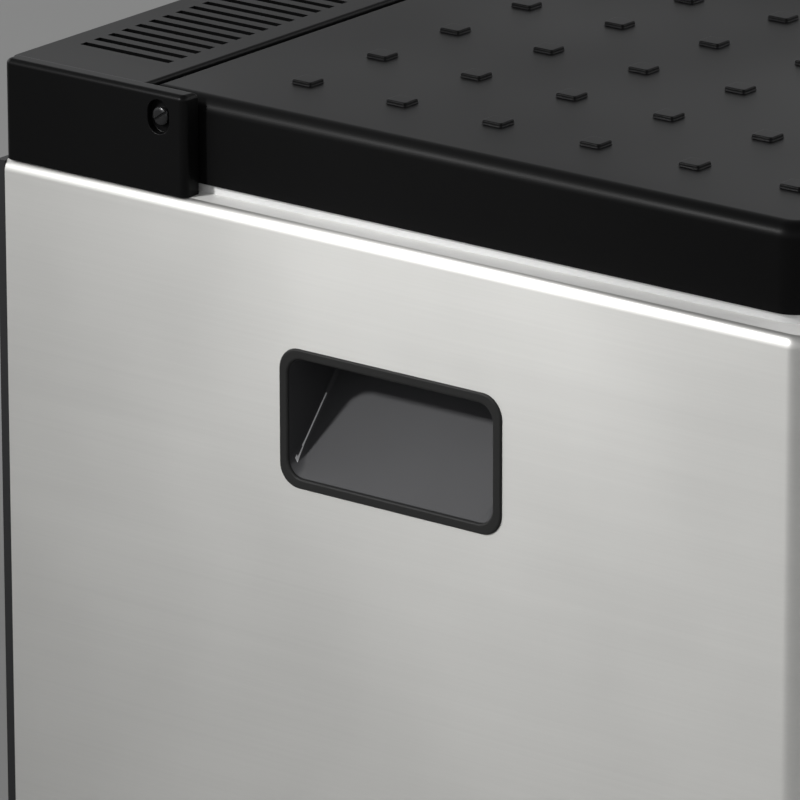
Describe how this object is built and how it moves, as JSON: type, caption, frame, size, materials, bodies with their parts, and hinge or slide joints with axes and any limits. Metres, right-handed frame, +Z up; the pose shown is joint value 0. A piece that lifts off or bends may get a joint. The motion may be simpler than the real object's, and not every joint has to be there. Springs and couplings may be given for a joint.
{
  "type": "portable cool box",
  "caption": "Portable three-way absorption cool box: brushed metal casing with recessed grips, rear-hinged black lid with anti-slip studs, front controls and a rear cooling unit.",
  "frame": {"origin": "the middle of the footprint, on the ground under the feet", "axes": "+Z up; -Y the front, with the control panel; +Y the rear, with the hinge and the cooling unit; +X to the right as seen from the front"},
  "size_m": [0.5024, 0.5104, 0.444],
  "materials": {
    "brushed_casing": "brushed, clear-coated sheet",
    "black_shell": "fine-grained black moulding",
    "grip_black": "fine-grained dark moulding",
    "pan_plastic": "grained dark moulding",
    "rim_plastic": "smooth light moulding",
    "liner_plastic": "smooth light moulding",
    "seal_rubber": "soft extruded seal",
    "foot_rubber": "moulded rubber",
    "foam": "rigid foam",
    "zinc_steel": "zinc-plated sheet",
    "screw_steel": "plated screw",
    "black_screw": "blackened screw",
    "brass": "machined brass",
    "copper_pipe": "drawn copper",
    "black_pipe": "stove-enamelled pipe",
    "fin_aluminium": "rolled aluminium",
    "jacket_sheet": "foil-clad jacket",
    "knob_plastic": "satin dark moulding",
    "fascia_plastic": "fine-grained dark moulding",
    "switch_plastic": "ivory moulding",
    "igniter_red": "glossy red moulding",
    "lamp_green": "clear green lens",
    "window_glass": "clear window",
    "bush_plastic": "acetal bush",
    "wire_black": "sheathed wires"
  },
  "bodies": {
    "cabinet": {"outer_casing": "brushed_casing", "base_pan": "pan_plastic", "feet": "foot_rubber", "foot_screws": "screw_steel", "insulation_body": "foam", "inner_liner": "liner_plastic", "rim_frame": "rim_plastic", "rear_bulkhead": "zinc_steel", "rear_cover": "pan_plastic", "rear_cover_screws": "screw_steel", "rear_deck": "black_shell", "hinge_cheek_left": "black_shell", "hinge_cheek_right": "black_shell", "cheek_screws": "screw_steel", "hinge_screws": "black_screw", "grip_cup_left": "grip_black", "grip_cup_right": "grip_black", "control_housing": "grip_black", "control_fascia": "fascia_plastic", "fascia_screws": "screw_steel", "selector_switch": "switch_plastic", "thermostat_body": "switch_plastic", "thermostat_probe": "copper_pipe", "gas_spring": "screw_steel", "gas_valve": "brass", "igniter_spring": "screw_steel", "igniter_body": "wire_black", "flame_window": "window_glass", "power_lamp": "lamp_green", "gas_supply_pipe": "copper_pipe", "burner_pipe": "copper_pipe", "gas_nozzle": "brass", "burner": "brass", "burner_box": "zinc_steel", "flue_tube": "zinc_steel", "boiler_tube": "black_pipe", "boiler_jacket": "jacket_sheet", "heater_cartridges": "screw_steel", "rectifier_pipe": "black_pipe", "condenser_tube": "black_pipe", "condenser_fins": "fin_aluminium", "evaporator_tube": "black_pipe", "cold_plate": "fin_aluminium", "gas_heat_exchanger": "black_pipe", "absorber_coil": "black_pipe", "absorber_vessel": "black_pipe", "mains_inlet": "wire_black", "battery_inlet": "wire_black", "wiring_loom": "wire_black"},
    "lid": {"lid_shell": "black_shell", "lid_foam": "foam", "lid_liner": "liner_plastic", "lid_gasket": "seal_rubber", "hinge_bushes": "bush_plastic"},
    "selector": {"selector_knob": "knob_plastic"},
    "thermostat": {"thermostat_knob": "knob_plastic"},
    "gas_thrust": {"gas_thrust_collar": "screw_steel"},
    "gas_control": {"gas_knob": "knob_plastic", "gas_spindle": "brass"},
    "igniter": {"igniter_button": "igniter_red"}
  },
  "joints": [
    {"name": "lid_hinge", "type": "hinge", "parent": "cabinet", "child": "lid", "pos_m": [0, 0.148, 0.4307], "axis": [-1, 0, 0], "range_deg": [0, 112]},
    {"name": "selector_turn", "type": "hinge", "parent": "cabinet", "child": "selector", "pos_m": [0.015, -0.239, 0.09], "axis": [0, 1, 0], "range_deg": [-60, 60]},
    {"name": "thermostat_turn", "type": "hinge", "parent": "cabinet", "child": "thermostat", "pos_m": [0.065, -0.239, 0.09], "axis": [0, 1, 0], "range_deg": [-135, 135]},
    {"name": "gas_press", "type": "slide", "parent": "cabinet", "child": "gas_thrust", "axis": [0, 1, 0], "range_m": [0, 0.0035], "stiffness_N_per_m": 900, "springref_m": -0.004, "deforming": ["gas_spring"]},
    {"name": "gas_turn", "type": "hinge", "parent": "gas_thrust", "child": "gas_control", "pos_m": [0.12, -0.239, 0.09], "axis": [0, -1, 0], "range_deg": [0, 210]},
    {"name": "igniter_press", "type": "slide", "parent": "cabinet", "child": "igniter", "axis": [0, 1, 0], "range_m": [0, 0.0045], "stiffness_N_per_m": 600, "springref_m": -0.004, "deforming": ["igniter_spring"]}
  ]
}
